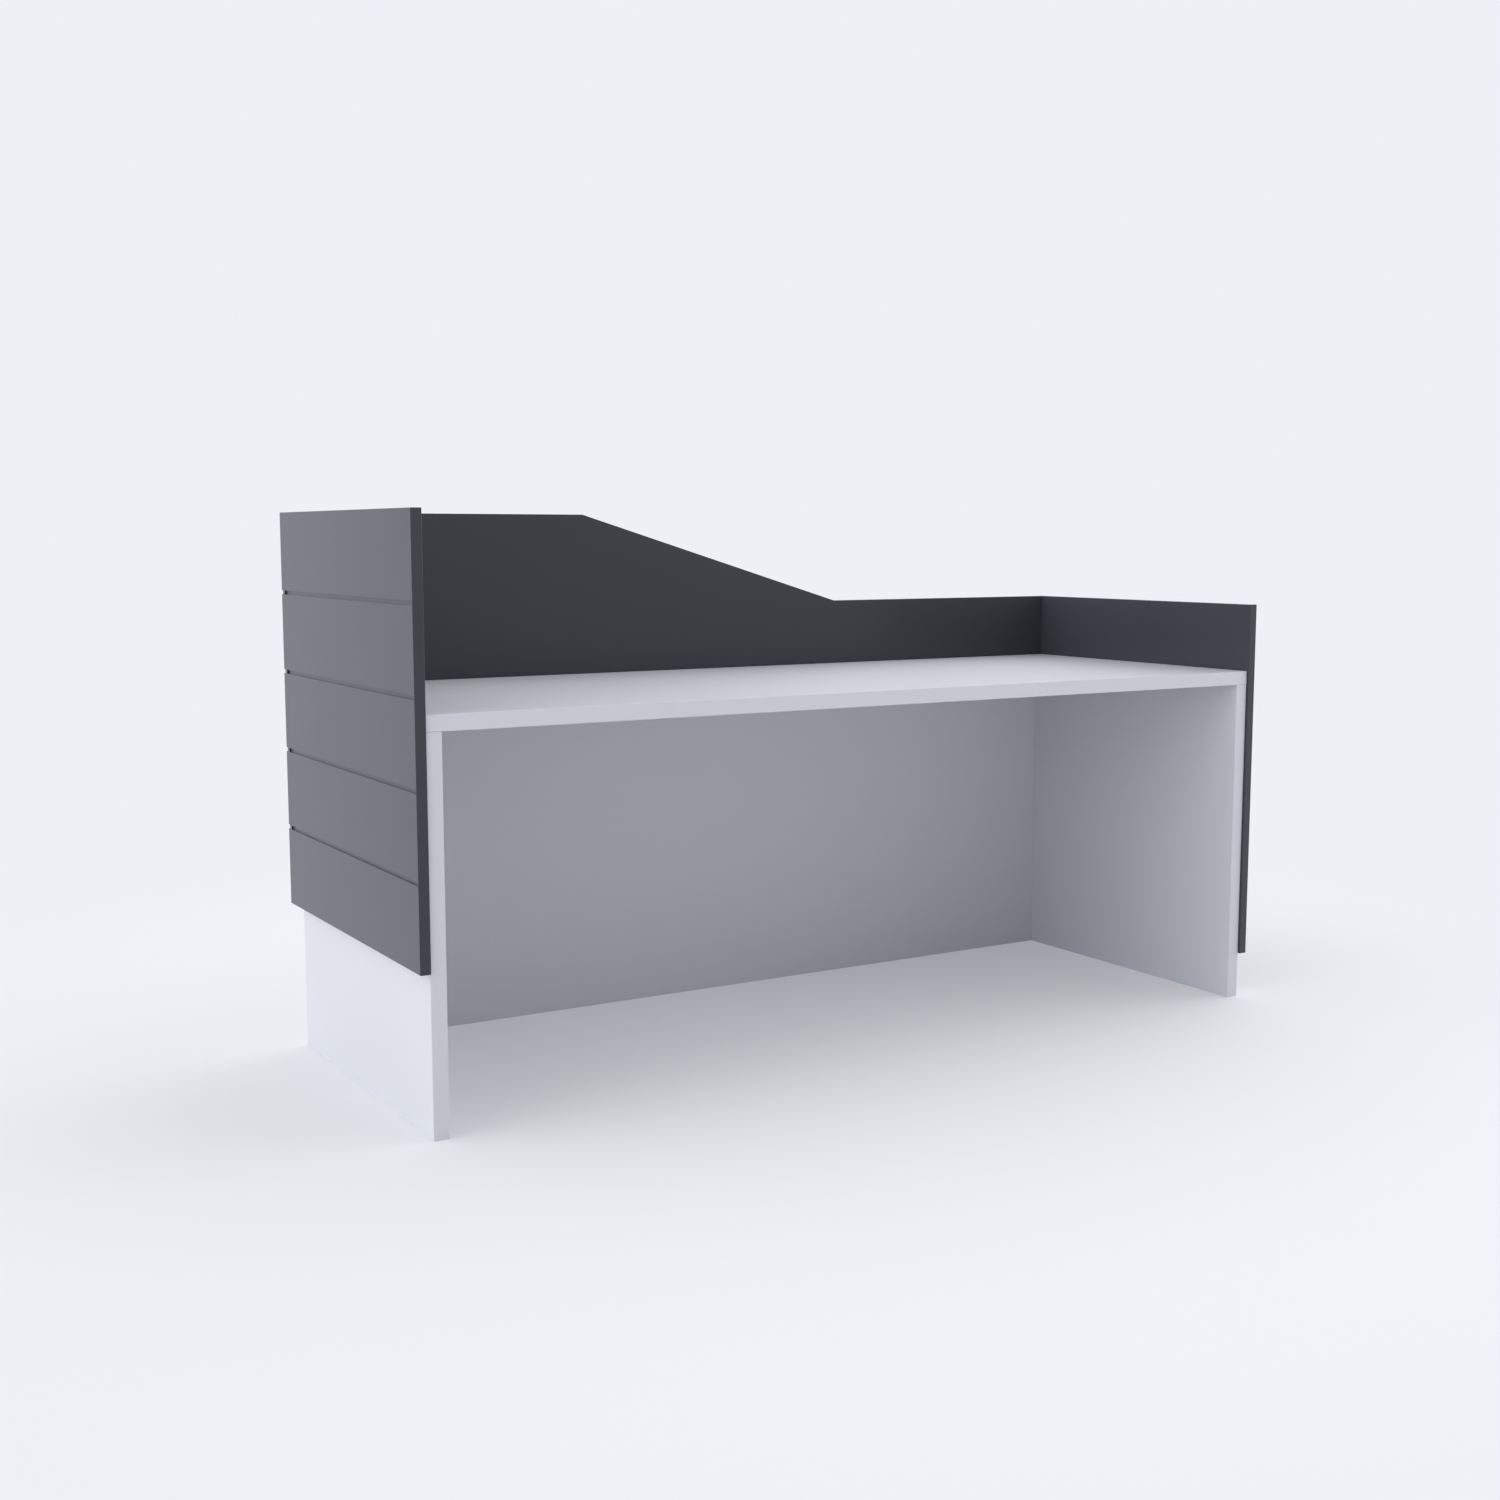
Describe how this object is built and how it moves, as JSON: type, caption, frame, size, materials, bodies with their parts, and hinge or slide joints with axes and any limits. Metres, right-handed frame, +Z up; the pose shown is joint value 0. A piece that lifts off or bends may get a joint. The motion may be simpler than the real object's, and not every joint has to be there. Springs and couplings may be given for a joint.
{
  "type": "reception desk",
  "caption": "Reception desk: white board carcass with a worktop and knee space, wrapped in hung dark grooved cladding whose top and grooves step down across the visitor's side.",
  "frame": {"origin": "on the floor, under the centre of the desk's footprint", "axes": "+X along the desk to the right of the seated person, +Y towards the visitor, +Z up"},
  "size_m": [2, 0.735, 1.1],
  "materials": {
    "white_board": "white melamine, fine pearl",
    "dark_board": "anthracite, satin",
    "zinc": "die-cast zinc",
    "steel": "zinc plated",
    "beech": "bare beech",
    "foot_plastic": "matte black"
  },
  "bodies": {
    "desk": {"worktop": "white_board", "left_side_panel": "white_board", "right_side_panel": "white_board", "modesty_panel": "white_board", "front_cladding": "dark_board", "left_cladding": "dark_board", "right_cladding": "dark_board", "worktop_left_rear_cam": "zinc", "worktop_left_front_cam": "zinc", "worktop_right_rear_cam": "zinc", "worktop_right_front_cam": "zinc", "modesty_left_upper_cam": "zinc", "modesty_left_lower_cam": "zinc", "modesty_right_upper_cam": "zinc", "modesty_right_lower_cam": "zinc", "worktop_left_rear_bolt": "steel", "worktop_left_front_bolt": "steel", "worktop_right_rear_bolt": "steel", "worktop_right_front_bolt": "steel", "modesty_left_upper_bolt": "steel", "modesty_left_lower_bolt": "steel", "modesty_right_upper_bolt": "steel", "modesty_right_lower_bolt": "steel", "left_rear_hanger_plate": "steel", "left_front_hanger_plate": "steel", "left_lower_hanger_plate": "steel", "right_rear_hanger_plate": "steel", "right_front_hanger_plate": "steel", "right_lower_hanger_plate": "steel", "front_left_hanger_plate": "steel", "front_middle_hanger_plate": "steel", "front_right_hanger_plate": "steel", "front_lower_left_hanger_plate": "steel", "front_lower_right_hanger_plate": "steel", "left_rear_hanger_screw": "steel", "left_front_hanger_screw": "steel", "left_lower_hanger_screw": "steel", "right_rear_hanger_screw": "steel", "right_front_hanger_screw": "steel", "right_lower_hanger_screw": "steel", "front_left_hanger_screw": "steel", "front_middle_hanger_screw": "steel", "front_right_hanger_screw": "steel", "front_lower_left_hanger_screw": "steel", "front_lower_right_hanger_screw": "steel", "left_rear_foot_sleeve": "steel", "left_front_foot_sleeve": "steel", "right_rear_foot_sleeve": "steel", "right_front_foot_sleeve": "steel", "worktop_left_rear_dowel": "beech", "worktop_left_front_dowel": "beech", "worktop_right_rear_dowel": "beech", "worktop_right_front_dowel": "beech", "modesty_left_dowel": "beech", "modesty_middle_dowel": "beech", "modesty_right_dowel": "beech"},
    "left_rear_levelling_foot": {"left_rear_levelling_foot": "foot_plastic"},
    "left_front_levelling_foot": {"left_front_levelling_foot": "foot_plastic"},
    "right_rear_levelling_foot": {"right_rear_levelling_foot": "foot_plastic"},
    "right_front_levelling_foot": {"right_front_levelling_foot": "foot_plastic"}
  },
  "joints": [
    {"name": "left_rear_foot_screw", "type": "slide", "parent": "desk", "child": "left_rear_levelling_foot", "axis": [0, 0, -1], "range_m": [0, 0.012]},
    {"name": "left_front_foot_screw", "type": "slide", "parent": "desk", "child": "left_front_levelling_foot", "axis": [0, 0, -1], "range_m": [0, 0.012]},
    {"name": "right_rear_foot_screw", "type": "slide", "parent": "desk", "child": "right_rear_levelling_foot", "axis": [0, 0, -1], "range_m": [0, 0.012]},
    {"name": "right_front_foot_screw", "type": "slide", "parent": "desk", "child": "right_front_levelling_foot", "axis": [0, 0, -1], "range_m": [0, 0.012]}
  ]
}
